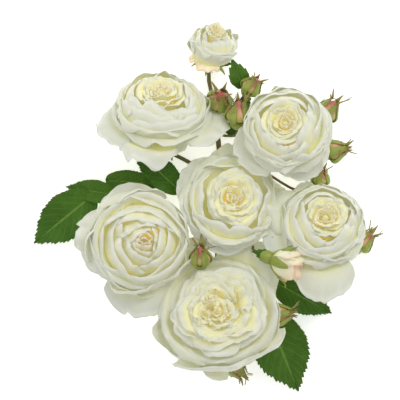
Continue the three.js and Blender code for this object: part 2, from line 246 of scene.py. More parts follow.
def petal_shade(name, base_from, base_to, depth, rim):
    """Cream petal: golden foot, faint long veins, peach edges on the smallest ones, a painted
    highlight towards the rim and a painted glow from its own emission.
    """
    c = colours()
    shade = Shade(name)
    along = shade.axes(shade.uv)[1]
    rank = shade.attribute("rank")
    tone = shade.attribute("tone")
    cloud = shade.noise(110.0, 3.0)
    level = along + (cloud - 0.5) * 0.22 + (tone - 0.5) * 0.16 + (1.0 - rank.step(0.0, 0.4)) * 0.22
    cream = shade.mix(level.step(base_to, 1.0), c.petal_shade, rim)
    warm = rank.step(0.10, 0.45)
    foot = (1.0 - level.step(base_from, base_to)) * depth
    body = shade.mix(foot, cream, shade.mix(warm, (0.66, 0.72, 0.34), c.petal_base))
    flush = (tone - 0.4) * 0.20 + cloud * 0.10 + rank.step(0.2, 0.9) * 0.34
    body = shade.mix(flush, body, (0.88, 0.84, 0.46))
    # Painted highlight: each petal is mixed towards pale grey-white near its rim.
    body = shade.mix(along.step(0.84, 1.0) * 0.7, body, (0.72, 0.73, 0.69))
    edge = along.step(0.80, 0.97) * rank.step(0.70, 0.98)
    body = shade.mix(edge * 0.55, body, c.heart_edge)
    # Painted glow: emitted light, golden at the foot of the inner rows and pale lime on the outer
    # ones, to lighten and warm the shade between petals.
    painted_glow = shade.mix(warm, (0.38, 0.42, 0.20), (1.0, 0.74, 0.26))
    spots = shade.noise(620.0, 2.0).step(0.60, 0.70)
    spots = spots * rank.step(0.74, 0.92) * along.step(0.72, 0.92)
    body = shade.mix(spots * 0.8, body, (0.42, 0.16, 0.035))
    streak = shade.noise(1.0, 2.0, shade.uv, (70.0, 2.2, 1.0))
    body = shade.mix((streak - 0.4) * 0.30, body, (0.60, 0.63, 0.42))
    cells = shade.noise(1900.0, 2.0)
    height = streak * 0.7 + cells * 0.3
    return shade.finish(
        Base_Color=body,
        Roughness=(cells * 0.14) + 0.46,
        Normal=shade.bump(height, 0.22, 0.0006),
        Subsurface_Weight=0.3,
        Subsurface_Radius=(1.0, 1.0, 0.95),
        Subsurface_Scale=0.0008,
        # Emission: painted glow over the whole petal, greyer lime towards the rims, so the petals
        # give off light of their own.
        Emission_Color=shade.mix(level.step(0.20, 1.02), painted_glow, (0.46, 0.47, 0.30)),
        Emission_Strength=0.19,
        Specular_IOR_Level=0.28,
        Sheen_Weight=0.06,
        Sheen_Roughness=0.5,
    )


@once
def guard_finish():
    """Outer petals: pale to the foot, with painted shade in their darker rim colour."""
    return petal_shade("guard_petal", 0.04, 0.42, 0.50, colours().guard)


@once
def inner_finish():
    """Inner petals: golden at the foot."""
    return petal_shade("inner_petal", 0.22, 0.64, 0.85, colours().petal)


@once
def half_open_finish():
    """Cream petals of the opening bud, blushed peach towards their tips, with a painted glow."""
    shade = Shade("half_open_petal")
    along = shade.axes(shade.uv)[1]
    tone = shade.attribute("tone")
    cloud = shade.noise(150.0, 3.0)
    streak = shade.noise(1.0, 2.0, shade.uv, (46.0, 1.6, 1.0))
    level = along + (cloud - 0.5) * 0.35 + (streak - 0.5) * 0.30
    body = shade.mix(level.step(0.10, 0.62), (0.56, 0.66, 0.20), (0.88, 0.85, 0.64))
    blush = level.step(0.60, 1.10) * (tone * 0.55 + 0.12)
    body = shade.mix(blush, body, (0.80, 0.42, 0.27))
    edge = along.step(0.90, 0.99) * cloud.step(0.45, 0.62)
    body = shade.mix(edge * 0.4, body, (0.66, 0.24, 0.15))
    return shade.finish(
        Base_Color=body,
        Roughness=streak * 0.2 + 0.42,
        Normal=shade.bump(streak, 0.3, 0.0006),
        Subsurface_Weight=0.3,
        Subsurface_Radius=(1.0, 0.8, 0.5),
        Subsurface_Scale=0.0015,
        # Emission: painted glow, pale cream-green and peach where blushed, so the petals give off
        # light of their own.
        Emission_Color=shade.mix(blush, (0.50, 0.50, 0.28), (0.60, 0.34, 0.22)),
        Emission_Strength=0.17,
    )


@once
def leaf_finish():
    """Glossy dark blade with a paler midrib and side veins, and a mottled tone."""
    c = colours()
    shade = Shade("leaf")
    across, along, _ = shade.axes(shade.uv)
    tone = shade.attribute("tone")
    side = abs(across - 0.5) * 2.0
    cloud = shade.noise(90.0, 4.0)
    fine = shade.noise(700.0, 3.0)
    order = (along - side * 0.30 + (cloud - 0.5) * 0.03) * 9.0
    vein = 1.0 - abs(order.fraction() - 0.5) * 2.0
    ribs = vein.step(0.80, 1.0) * (1.0 - side.step(0.75, 1.0))
    midrib = 1.0 - side.step(0.02, 0.075)
    net = shade.number("ShaderNodeTexVoronoi", {"feature": "DISTANCE_TO_EDGE"},
                       {"Vector": shade.place, "Scale": 520.0})
    mesh = 1.0 - net.step(0.0, 0.12)
    body = shade.mix(cloud.step(0.35, 0.70), c.leaf, (0.062, 0.165, 0.018))
    body = shade.mix(tone * 0.55, body, (0.105, 0.22, 0.022))
    body = shade.mix(fine * 0.18, body, (0.02, 0.06, 0.01))
    body = shade.mix(ribs * 0.24, body, c.leaf_vein)
    body = shade.mix(midrib * 0.7, body, c.leaf_vein)
    body = shade.mix(mesh * 0.14, body, c.leaf_vein)
    rim = side.step(0.93, 1.0) * cloud.step(0.50, 0.66)
    body = shade.mix(rim * 0.5, body, (0.20, 0.12, 0.03))
    height = fine * 0.25 - ribs * 0.6 - mesh * 0.35 - midrib * 0.6
    return shade.finish(
        Base_Color=body,
        Roughness=cloud * 0.22 + 0.40,
        Normal=shade.bump(height, 0.40, 0.0006),
        Subsurface_Weight=0.08,
        Subsurface_Scale=0.001,
        Specular_IOR_Level=0.09,
    )


def green_shade(name, blush_from, blush_to, weight):
    """Young green skin of hips and sepals: lengthwise streaks, red-brown blush and soft gloss."""
    c = colours()
    shade = Shade(name)
    along = shade.axes(shade.uv)[1]
    tone = shade.attribute("tone")
    cloud = shade.noise(240.0, 3.0)
    streak = shade.noise(1.0, 3.0, shade.uv, (26.0, 2.0, 1.0))
    glands = shade.noise(1500.0, 2.0)
    body = shade.mix(streak.step(0.35, 0.70), c.bud_green, (0.30, 0.42, 0.07))
    body = shade.mix(cloud.step(0.5, 0.75) * 0.5, body, (0.15, 0.20, 0.03))
    level = along + (cloud - 0.5) * 0.3 + (tone - 0.5) * 0.1
    body = shade.mix(level.step(blush_from, blush_to) * weight, body, (0.28, 0.10, 0.045))
    body = shade.mix(glands.step(0.60, 0.72) * 0.35, body, (0.09, 0.08, 0.02))
    return shade.finish(
        Base_Color=body,
        Roughness=cloud * 0.22 + 0.34,
        Normal=shade.bump(streak * 0.6 + glands * 0.4, 0.35, 0.0006),
        Subsurface_Weight=0.12,
        Subsurface_Scale=0.001,
        Sheen_Weight=0.1,
    )


@once
def calyx_finish():
    """Sepals and hip of an open bloom."""
    return green_shade("calyx", 0.75, 1.2, 0.5)


@once
def bud_finish():
    """Sepals and hip of a closed bud, redder at their tips."""
    return green_shade("bud_sepal", 0.40, 1.0, 0.55)


@once
def bud_core_finish():
    """Petals that show between a closed bud's sepals: green-cream below, rose red at the tip."""
    c = colours()
    shade = Shade("bud_petal")
    along = shade.axes(shade.uv)[1]
    cloud = shade.noise(260.0, 3.0)
    streak = shade.noise(1.0, 2.0, shade.uv, (30.0, 1.5, 1.0))
    level = along + (cloud - 0.5) * 0.18 + (streak - 0.5) * 0.18
    body = shade.mix(level.step(0.20, 0.60), (0.44, 0.46, 0.11), (0.72, 0.40, 0.22))
    body = shade.mix(level.step(0.52, 0.86), body, c.bud_blush)
    return shade.finish(
        Base_Color=body,
        Roughness=streak * 0.2 + 0.36,
        Normal=shade.bump(streak, 0.4, 0.0006),
        Subsurface_Weight=0.2,
        Subsurface_Scale=0.001,
    )


@once
def stem_finish():
    """Olive brown bark: green and brown patches, long grain and pale corky dots."""
    c = colours()
    shade = Shade("stem")
    cloud = shade.noise(70.0, 4.0)
    grain = shade.noise(420.0, 4.0, stretch=(1.0, 0.22, 1.0))
    pores = shade.number("ShaderNodeTexVoronoi", {}, {"Vector": shade.place, "Scale": 260.0})
    dots = 1.0 - pores.step(0.10, 0.22)
    body = shade.mix(cloud.step(0.38, 0.66), c.bark, c.bark_green)
    body = shade.mix(grain.step(0.40, 0.75) * 0.5, body, (0.19, 0.15, 0.06))
    body = shade.mix(dots * 0.5, body, (0.26, 0.21, 0.12))
    return shade.finish(
        Base_Color=body,
        Roughness=grain * 0.3 + 0.42,
        Normal=shade.bump(grain * 0.6 + dots * 0.3 + cloud * 0.3, 0.5, 0.0008),
        Specular_IOR_Level=0.35,
    )


@once
def floor_finish():
    """Matt near-white board with a very faint tooth."""
    shade = Shade("floor")
    tooth = shade.noise(900.0, 2.0)
    body = shade.mix(tooth, (0.95, 0.95, 0.95), (0.965, 0.965, 0.962))
    return shade.finish(
        Base_Color=body,
        Roughness=0.9,
        Normal=shade.bump(tooth, 0.05, 0.0003),
        Specular_IOR_Level=0.1,
        Emission_Color=(1.0, 1.0, 1.0),
        Emission_Strength=SURROUND,
    )


# ---- measuring the frame

def node_points(node):
    """The corner points of one of the frame's solids."""
    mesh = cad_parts[node].data
    flat = np.empty(3 * len(mesh.vertices))
    mesh.vertices.foreach_get("co", flat)
    return flat.reshape(-1, 3)


def unit(vector):
    return vector / np.linalg.norm(vector)


class Place:
    """A local frame on the spray: a foot, an axis that points out of the flower, and a size."""

    def __init__(self, foot, axis, radius, depth):
        self.foot = foot
        self.axis = unit(axis)
        self.radius = radius
        self.depth = depth
        hint = np.array((1.0, 0.0, 0.0)) if abs(self.axis[0]) < 0.9 else np.array((0.0, 1.0, 0.0))
        self.side = unit(hint - self.axis * (hint @ self.axis))
        self.front = np.cross(self.axis, self.side)

    def inward(self, points):
        away = points - self.foot
        return np.stack((away @ self.side, away @ self.front, away @ self.axis), axis=1)

    def outward(self, x, y, z):
        return (self.foot + np.outer(x, self.side) + np.outer(y, self.front)
                + np.outer(z, self.axis))


STEM_POINTS = node_points("stem")


def bloom_place(name):
    """A bloom's Place, from its rosette and its calyx."""
    heart = node_points(name + "_inner_petals")
    calyx = node_points(name + "_calyx")
    axis = unit(heart.mean(0) - calyx.mean(0))
    middle = heart.mean(0)
    along = (heart - middle) @ axis
    depth = (along.max() - along.min()) / 0.8
    away = heart - middle - np.outer(along, axis)
    radius = np.percentile(np.linalg.norm(away, axis=1), 97) / 0.76
    foot = middle + axis * (along.max() - depth)
    return Place(foot, axis, radius, depth)


def long_place(points):
    """A Place along the longest direction of some points, from the end nearest the stem."""
    middle = points.mean(0)
    axis = np.linalg.svd(points - middle, full_matrices=False)[2][0]
    along = (points - middle) @ axis
    ends = [middle + axis * along.min(), middle + axis * along.max()]
    gaps = [np.linalg.norm(STEM_POINTS - end, axis=1).min() for end in ends]
    if gaps[1] < gaps[0]:
        axis = -axis
        ends.reverse()
        along = -along
    away = points - middle - np.outer((points - middle) @ axis, axis)
    radius = np.percentile(np.linalg.norm(away, axis=1), 92)
    return Place(ends[0], axis, radius, along.max() - along.min())


# ---- modelling tools

def deselect():
    for thing in bpy.context.selected_objects:
        thing.select_set(False)


def choose(thing):
    deselect()
    thing.select_set(True)
    bpy.context.view_layer.objects.active = thing


BLANKS = {}


def sheet(across, along):
    """A flat sheet of faces, modelled once for each fineness."""
    key = ("sheet", across, along)
    if key not in BLANKS:
        deselect()
        bpy.ops.mesh.primitive_grid_add(x_subdivisions=across, y_subdivisions=along, size=2.0)
        BLANKS[key] = bpy.context.object.data
        bpy.data.objects.remove(bpy.context.object)
    return BLANKS[key]


def ball(segments, rings):
    """A closed ball of faces, modelled once for each fineness."""
    key = ("ball", segments, rings)
    if key not in BLANKS:
        deselect()
        bpy.ops.mesh.primitive_uv_sphere_add(segments=segments, ring_count=rings, radius=1.0)
        BLANKS[key] = bpy.context.object.data
        bpy.data.objects.remove(bpy.context.object)
    return BLANKS[key]


def blank_points(mesh):
    """The corner points of a mesh as rows."""
    flat = np.empty(3 * len(mesh.vertices))
    mesh.vertices.foreach_get("co", flat)
    return flat.reshape(-1, 3)


def shaped(name, blank, points, rank=0.0, tone=0.5):
    """A copy of a blank with every point put in its place."""
    mesh = blank.copy()
    mesh.name = name
    points = np.array(points)
    points[:, 2] = np.maximum(points[:, 2], FRAME_LOW[2] + CLEARANCE)
    mesh.vertices.foreach_set("co", np.ascontiguousarray(points, dtype=np.float32).ravel())
    for key, value in (("rank", rank), ("tone", tone)):
        data = mesh.attributes.new(key, "FLOAT", "POINT")
        data.data.foreach_set("value", np.full(len(mesh.vertices), value, dtype=np.float32))
    mesh.update()
    thing = bpy.data.objects.new(name, mesh)
    bpy.context.scene.collection.objects.link(thing)
    return thing


def joined(name, things):
    """Several objects joined into one."""
    choose(things[0])
    for thing in things:
        thing.select_set(True)
    bpy.ops.object.join()
    whole = bpy.context.object
    whole.name = name
    whole.data.name = name
    return whole


def modified(thing, kind, **settings):
    """Add one modifier and apply it."""
    choose(thing)
    modifier = thing.modifiers.new(kind.title(), kind)
    for key, value in settings.items():
        setattr(modifier, key, value)
    bpy.ops.object.modifier_apply(modifier=modifier.name)


def thickened(thing, thickness):
    modified(thing, "SOLIDIFY", thickness=thickness, offset=0.0)


def smooth_faces(thing):
    choose(thing)
    bpy.ops.object.shade_smooth()


def done(thing, slot, material, *nodes):
    """Give a finished piece its finish, hang it under the root, and hide the solids of the frame
    that it stands for.
    """
    thing.data.materials.clear()
    thing.data.materials.append(material)
    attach(thing, "root")
    if nodes:
        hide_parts(*nodes)


def sheets(name, things, thickness, slot, material, *nodes):
    """One finished piece out of several sheets: joined, given their thickness and smoothed."""
    whole = joined(name, things) if len(things) > 1 else things[0]
    thickened(whole, thickness)
    smooth_faces(whole)
    done(whole, slot, material, *nodes)


def ease(low, high, value):
    """Smoothly 0 below low and 1 above high."""
    part = np.clip((value - low) / (high - low), 0.0, 1.0)
    return part * part * (3.0 - 2.0 * part)


class Waves:
    """A seeded, smooth up and down over a rim."""

    def __init__(self, rng, counts=(1.3, 2.4, 4.1), falls=(1.0, 0.7, 0.45)):
        self.parts = [(count, fall * rng.uniform(0.6, 1.2), rng.uniform(0, 2 * math.pi))
                      for count, fall in zip(counts, falls)]

    def __call__(self, u):
        return sum(size * np.sin(count * math.pi * u + phase) for count, size, phase in self.parts)


# ---- petals

class Petal:
    """One petal around a flower's axis, as a line from foot to rim that is wrapped around it."""

    def __init__(self, rng, line, half_width, compass, curl=0.0, ruffle=0.0, tuck=0.0,
                 ring=0.0, centre=(0.0, 0.0), rounding=0.22, point=0.0, nicks=0, twist=0.0):
        self.line = line
        self.half_width = half_width
        self.compass = compass
        self.curl = curl
        self.ruffle = ruffle
        self.tuck = tuck
        self.ring = ring
        self.centre = centre
        self.rounding = rounding
        self.point = point
        self.twist = twist
        self.lip = Waves(rng)
        self.frill = Waves(rng, (1.5, 2.9, 5.3), (1.0, 0.6, 0.3))
        own = np.random.default_rng(int(1e5 * (abs(compass) + half_width)))
        self.scallops = Waves(own, (3.9, 5.7, 7.8), (1.0, 0.9, 0.7))
        self.nicks = [(rng.uniform(-0.75, 0.75), rng.uniform(0.02, 0.05)) for _ in range(nicks)]

    def points(self, place, u, v):
        side = np.abs(u)
        end = 1.0 - self.rounding * side ** 2.4 + self.point * np.exp(-(u / 0.2) ** 2)
        end += 0.011 * self.frill(u) + 0.009 * self.scallops(u)
        for where, cut in self.nicks:
            end -= cut * np.exp(-((u - where) / 0.05) ** 2)
        t = v * end
        r, z = self.line(t)
        r2, z2 = self.line(t + 0.01)
        slope = np.hypot(r2 - r, z2 - z) + 1e-9
        out, up = (r2 - r) / slope, (z2 - z) / slope
        rim = ease(0.62, 1.0, v)
        waves = self.ruffle * rim * (self.frill(u) + 0.5 * self.scallops(u))
        roll = self.curl * rim ** 2 * (1.0 + 0.60 * self.lip(u)) + waves
        back = 0.35 * self.curl * rim ** 3
        half = self.half_width * (0.14 + 0.86 * np.sin(1.95 * np.clip(t, 0.0, 1.1)))
        around = u * half / np.maximum(r, self.ring)
        r = r + roll * up - back * out + self.tuck * u * ease(0.0, 0.5, v)
        drift = ease(0.0, 0.75, v)
        z = z - roll * out - back * up + self.twist * u * v
        angle = around + self.compass
        x = self.centre[0] * drift + r * np.cos(angle)
        y = self.centre[1] * drift + r * np.sin(angle)
        return place.outward(x, y, z)

    def piece(self, place, name, across, along, rank, tone):
        blank = sheet(across, along)
        flat = blank_points(blank)
        points = self.points(place, flat[:, 0], 0.5 * (flat[:, 1] + 1.0))
        return shaped(name, blank, points, rank, tone)


def dome_line(foot_ring, foot, ring, height, rim):
    """From a flower's floor around a ball of one ring and height, up and in to the rim's radius."""
    last = math.pi - math.asin(min(0.999, rim / ring))

    def line(t):
        angle = np.clip(last * t, 0.0, 0.98 * math.pi)
        r = np.hypot(ring * np.sin(angle), foot_ring * np.cos(0.5 * angle))
        return r, foot + 0.5 * height * (1.0 - np.cos(angle))
    return line


def flare_line(foot_ring, foot, ring, top, spread):
    """From a flower's floor up through a cup and out again to an open rim."""
    def line(t):
        belly = ring - spread * (ring - foot_ring)
        bowl = foot_ring + (belly - foot_ring) * np.sin(0.5 * math.pi * np.clip(1.5 * t, 0.0, 1.0))
        r = bowl + (ring - belly) * np.clip(t - 0.35, 0.0, 1.0) ** 1.8 / 0.65 ** 1.8
        return r, foot + (top - foot) * np.sin(0.5 * math.pi * np.clip(t, 0.0, 1.15)) ** 1.15
    return line


def guard_line(local, compass):
    """The line of an outer petal, read off its solid in the frame."""
    r = np.hypot(local[:, 0], local[:, 1])
    turn = (np.arctan2(local[:, 1], local[:, 0]) - compass + math.pi) % (2 * math.pi) - math.pi
    near = np.abs(turn) < 0.5
    fit = np.polyfit(r[near], local[near, 2], 3)
    low, high = r[near].min(), r[near].max()

    def line(t):
        reach = low + 1.10 * (high - low) * t
        slope = np.polyval(np.polyder(fit), high)
        inside = np.minimum(reach, high)
        return reach, np.polyval(fit, inside) + slope * (reach - inside)
    return line


# Each bloom's habit, how crumpled its heart is, the seed of its small differences, how far and
# towards which compass point its heart is set off its middle, and how wide it spreads.
HABITS = {
    "upper_left_bloom": ("cupped", 0.03, 11, 0.10, 90, 0.86),
    "upper_right_bloom": ("cupped", 0.03, 23, 0.15, 130, 0.90),
    "middle_bloom": ("ruffled", 0.05, 37, 0.10, 40, 0.94),
    "left_bloom": ("spiral", 0.02, 41, 0.09, -40, 0.92),
    "right_bloom": ("cupped", 0.03, 53, 0.09, 80, 0.88),
    "lower_bloom": ("quartered", 0.10, 67, 0.19, -68, 0.88),
    "top_bloom": ("young", 0.03, 79, 0.03, 60, 0.92),
}

# Whorls from the outside in: petals, ring, radius of the rim, height of the ball that the petal
# follows (or minus the height of a flared one), half turn of one petal in degrees, roll of its rim.
WHORLS = {
    "cupped": [
        (4, 0.97, 0.34, -0.60, 62, 1.00), (4, 0.88, 0.24, -0.78, 66, 0.90),
        (4, 0.80, 0.72, 0.91, 74, 0.60), (3, 0.74, 0.57, 0.97, 96, 0.40),
        (3, 0.66, 0.42, 1.00, 98, 0.30), (4, 0.49, 0.55, -0.97, 60, 0.46),
        (4, 0.40, 0.55, -0.99, 60, 0.40), (3, 0.31, 0.52, -1.00, 76, 0.34),
        (3, 0.22, 0.50, -1.00, 76, 0.28), (3, 0.13, 0.45, -0.99, 84, 0.20),
    ],
    "spiral": [
        (4, 0.97, 0.34, -0.58, 64, 1.20), (4, 0.88, 0.26, -0.76, 66, 0.90),
        (4, 0.81, 0.74, 0.89, 74, 0.70), (3, 0.74, 0.61, 0.93, 96, 0.50),
        (3, 0.65, 0.48, 0.97, 96, 0.38), (3, 0.55, 0.35, 1.01, 96, 0.28),
        (3, 0.43, 0.24, 1.05, 98, 0.20), (3, 0.31, 0.14, 1.07, 100, 0.14),
        (3, 0.20, 0.08, 1.08, 106, 0.12), (2, 0.11, 0.035, 1.09, 140, 0.08),
    ],
    "ruffled": [
        (5, 0.99, 0.34, -0.60, 52, 1.20), (4, 0.90, 0.26, -0.76, 64, 1.00),
        (4, 0.81, 0.74, 0.89, 72, 0.70), (4, 0.73, 0.58, 0.94, 72, 0.50),
        (5, 0.61, 0.55, -0.92, 48, 0.50), (5, 0.52, 0.55, -0.95, 48, 0.46),
        (4, 0.43, 0.55, -0.97, 58, 0.42), (4, 0.34, 0.55, -0.98, 58, 0.38),
        (3, 0.25, 0.52, -0.98, 76, 0.32), (3, 0.16, 0.50, -0.98, 80, 0.24),
        (2, 0.08, 0.45, -0.97, 110, 0.16),
    ],
    "quartered": [
        (5, 1.02, 0.34, -0.58, 50, 1.30), (5, 0.93, 0.28, -0.72, 54, 1.00),
        (4, 0.84, 0.78, 0.85, 70, 0.60), (5, 0.76, 0.55, -0.84, 48, 0.56),
        (5, 0.68, 0.55, -0.88, 48, 0.54), (5, 0.60, 0.56, -0.91, 46, 0.52),
        (5, 0.52, 0.58, -0.93, 46, 0.50), (5, 0.44, 0.58, -0.95, 46, 0.46),
        (5, 0.36, 0.58, -0.96, 46, 0.42), (4, 0.28, 0.55, -0.97, 56, 0.38),
        (4, 0.20, 0.55, -0.98, 60, 0.34), (3, 0.12, 0.50, -0.98, 80, 0.26),
    ],
    "young": [
        (3, 0.92, 0.30, -0.84, 88, 0.60), (3, 0.80, 0.78, 1.06, 92, 0.50),
        (3, 0.78, 0.66, 1.10, 92, 0.40), (3, 0.68, 0.50, 1.12, 92, 0.30),
        (3, 0.56, 0.36, 1.12, 92, 0.24), (3, 0.42, 0.50, -1.12, 70, 0.24),
        (3, 0.30, 0.50, -1.12, 72, 0.20), (3, 0.18, 0.45, -1.12, 84, 0.14),
    ],
}

# Loose outermost petals that a bloom throws out beyond its guard petals: compass point of the
# floor they lean to, their reach in the bloom's radii, and how high up the bloom their rim is.
LOOSE = {
    "right_bloom": ((148, 1.22, 0.50), (104, 1.10, 0.40)),
    "middle_bloom": ((82, 1.20, 0.40), (52, 1.12, 0.50), (8, 1.24, 0.30)),
    "lower_bloom": ((50, 1.10, 0.62),),
    "left_bloom": ((176, 1.04, 0.45),),
    "upper_left_bloom": ((-22, 1.14, 0.40), (-104, 1.12, 0.30)),
}


def set_off(place, share, compass):
    """A step across a flower towards a compass point of the floor, in the flower's own frame."""
    way = np.array((math.cos(math.radians(compass)), math.sin(math.radians(compass)), 0.0))
    flat = np.array((way @ place.side, way @ place.front))
    return share * place.radius * flat / np.linalg.norm(flat)


def whorl_petals(place, habit, rng, step, spread, crumple):
    """Petals of the whorls around the axis, each with its rank from rim to heart."""
    radius, depth = place.radius, place.depth
    hip = HIP_SHARE * depth
    roll = sizes().rim_roll * radius / 0.035
    turn = rng.uniform(0, 2 * math.pi)
    rows = WHORLS[habit]
    for row, (count, ring, rim, top, half_turn, curl) in enumerate(rows):
        turn += GOLDEN_TURN
        for k in range(count):
            loose = 0.08 if row < 2 else 0.03
            reach = spread * ring * radius * rng.uniform(1.0 - loose, 1.03)
            foot_ring = (0.04 + 0.10 * ring) * radius
            height = abs(top) * depth * rng.uniform(0.95, 1.02) - hip
            floor = hip + 0.3 * MM
            if top < 0:
                end = reach
                line = flare_line(foot_ring, floor, reach, hip + height, rim)
            else:
                end = spread * rim * radius * rng.uniform(0.90, 1.08)
                line = dome_line(foot_ring, floor, reach, height, end)
            inner = ease(0.2, 0.7, row / len(rows))
            stray = crumple * radius * inner * rng.normal(0.0, 0.6, 2)
            waves = 0.4 + 1.3 * ring ** 2 + 12.0 * crumple * inner
            girth = 0.7 * end + 0.3 * reach
            petal = Petal(
                rng, line,
                half_width=girth * math.radians(half_turn) * rng.uniform(0.92, 1.08),
                compass=turn + 2 * math.pi * k / count + rng.uniform(-0.12, 0.12),
                curl=curl * roll * rng.uniform(0.5, 1.3),
                ruffle=sizes().ruffle * waves * rng.uniform(0.6, 1.4),
                tuck=0.6 * MM,
                ring=0.6 * end,
                centre=step * min(1.0, (row + 1) / 3.0) + stray,
                rounding=0.34 if top < 0 else 0.22,
                point=rng.choice([0.0, 0.0, 0.04]),
                nicks=rng.integers(0, 3),
                twist=rng.uniform(-0.04, 0.04) * depth * ring,
            )
            yield petal, row / max(1, len(rows) - 1)


def loose_petals(place, rng, throws):
    """The few petals that lean out under a bloom, past its guard petals."""
    hip = HIP_SHARE * place.depth
    for compass, reach, top in throws:
        way = set_off(place, 1.0, compass)
        rim = hip + top * (place.depth - hip)
        petal = Petal(
            rng, flare_line(0.12 * place.radius, hip, reach * place.radius, rim, 0.45),
            half_width=0.56 * place.radius,
            compass=math.atan2(way[1], way[0]),
            curl=sizes().rim_roll * rng.uniform(0.7, 1.2),
            ruffle=sizes().ruffle,
            tuck=0.8 * MM,
            ring=0.34 * place.radius,
            rounding=0.32,
            nicks=2,
        )
        yield petal, 0.0


def core(place, step):
    """The small closed knot at the very heart of a bloom."""
    blank = ball(18, 12)
    flat = blank_points(blank)
    turn = np.arctan2(flat[:, 1], flat[:, 0])
    r = 0.09 * place.radius * np.hypot(flat[:, 0], flat[:, 1]) * (1.0 + 0.12 * np.cos(5 * turn))
    z = place.depth * (0.60 + 0.30 * flat[:, 2])
    points = place.outward(step[0] + r * np.cos(turn), step[1] + r * np.sin(turn), z)
    thing = shaped("knot", blank, points, 1.0, 0.6)
    uv_by_height(thing, np.full_like(turn, 0.85), turn)
    return thing


def inner_petals(name):
    """All petals inside a bloom's guard petals, as one piece."""
    place = bloom_place(name)
    habit, crumple, seed, share_off, compass, spread = HABITS[name]
    rng = np.random.default_rng(seed)
    step = set_off(place, share_off, compass)
    grown = list(whorl_petals(place, habit, rng, step, spread, crumple))
    grown += list(loose_petals(place, rng, LOOSE.get(name, ())))
    things = [petal.piece(place, "petal", 24, 16, rank, rng.uniform(0.0, 1.0))
              for petal, rank in grown]
    things.append(core(place, step))
    sheets(name + "_rosette", things, sizes().petal_thickness,
           "inner_petals", inner_finish(), name + "_inner_petals")


def guard_petal(node):
    """One broad outer petal, along the line of its solid."""
    name = node[:node.index("_guard_petal_")]
    place = bloom_place(name)
    rng = np.random.default_rng(1000 + 10 * HABITS[name][2] + int(node[-1]))
    local = place.inward(node_points(node))
    middle = local.mean(0)
    compass = math.atan2(middle[1], middle[0])
    line = guard_line(local, compass)
    petal = Petal(
        rng, line,
        half_width=0.68 * place.radius,
        compass=compass,
        curl=0.6 * sizes().rim_roll * rng.uniform(0.5, 1.2),
        ruffle=sizes().ruffle * rng.uniform(0.7, 1.3),
        tuck=0.8 * MM,
        ring=0.34 * place.radius,
        point=rng.choice([0.0, 0.03]),
        nicks=rng.integers(1, 4),
        rounding=0.30,
    )
    tone = rng.uniform(1.0 if name == "top_bloom" else 0.2, 1.0)
    thing = petal.piece(place, node + "_sheet", 34, 24, 0.0, tone)
    finish = half_open_finish() if name == "top_bloom" else guard_finish()
    sheets(thing.name, [thing], sizes().petal_thickness, "guard_petals", finish, node)


# ---- calyxes and buds

def hip(place, height, radius):
    """The round green hip under a flower."""
    blank = ball(28, 16)
    flat = blank_points(blank)
    t = 0.5 * (flat[:, 2] + 1.0)
    ring = np.hypot(flat[:, 0], flat[:, 1])
    turn = np.arctan2(flat[:, 1], flat[:, 0])
    form = np.interp(t, (0.0, 0.12, 0.45, 0.72, 0.9, 1.0), (0.42, 0.62, 1.0, 0.94, 0.72, 0.60))
    r = radius * form * np.where(ring > 1e-6, np.minimum(1.0, 2.6 * ring), 0.0)
    r *= 1.0 + 0.025 * np.cos(5 * turn)
    points = place.outward(r * np.cos(turn), r * np.sin(turn), height * t)
    return shaped("hip", blank, points, 0.0, 0.3)


def sepal(place, rng, compass, line, half_width, fringe):
    """One sepal: a pointed strip, with thin side lobes when it has a fringe."""
    blank = sheet(8, 26)
    flat = blank_points(blank)
    u, v = flat[:, 0], 0.5 * (flat[:, 1] + 1.0)
    r, z = line(v)
    half = half_width * (0.05 + 0.95 * np.clip(1.0 - v, 0.0, 1.0) ** 1.15 * (0.75 + 0.9 * v))
    keel = 0.12 * half_width * (1.0 - np.abs(u)) * (1.0 - v)
    angle = compass + u * half / np.maximum(r, 0.6 * half_width)
    r = r + keel
    strips = [shaped("sepal", blank, place.outward(r * np.cos(angle), r * np.sin(angle), z),
                     0.0, rng.uniform(0.2, 0.8))]
    for k in range(fringe):
        start = 0.35 + 0.16 * k + rng.uniform(-0.03, 0.03)
        side = 1 if k % 2 else -1
        strips.append(whisker(place, rng, compass, line, start, side, half_width))
    return strips


def whisker(place, rng, compass, line, start, side, half_width):
    """A thin lobe that springs from a sepal's edge."""
    blank = sheet(2, 8)
    flat = blank_points(blank)
    u, v = flat[:, 0], 0.5 * (flat[:, 1] + 1.0)
    r, z = line(start + 0.20 * v)
    spread = side * half_width * (0.55 * (1.0 - start) + (0.9 + rng.uniform(0, 0.5)) * v)
    width = 0.35 * MM * (1.0 - 0.8 * v)
    across = spread + u * width
    angle = compass + across / np.maximum(r, 0.8 * half_width)
    r = r + 0.5 * MM * v * (1.0 + v)
    points = place.outward(r * np.cos(angle), r * np.sin(angle), z)
    return shaped("whisker", blank, points, 0.0, 0.9)


def arc_line(ring, foot, reach, leave, end):
    """A line that leaves at one angle from the axis and bends evenly to another."""
    start, bend = math.radians(leave), math.radians(end - leave)

    def line(t):
        angle = start + bend * t
        r = ring + reach / bend * (math.cos(start) - np.cos(angle))
        return r, foot + reach / bend * (np.sin(angle) - math.sin(start))
    return line


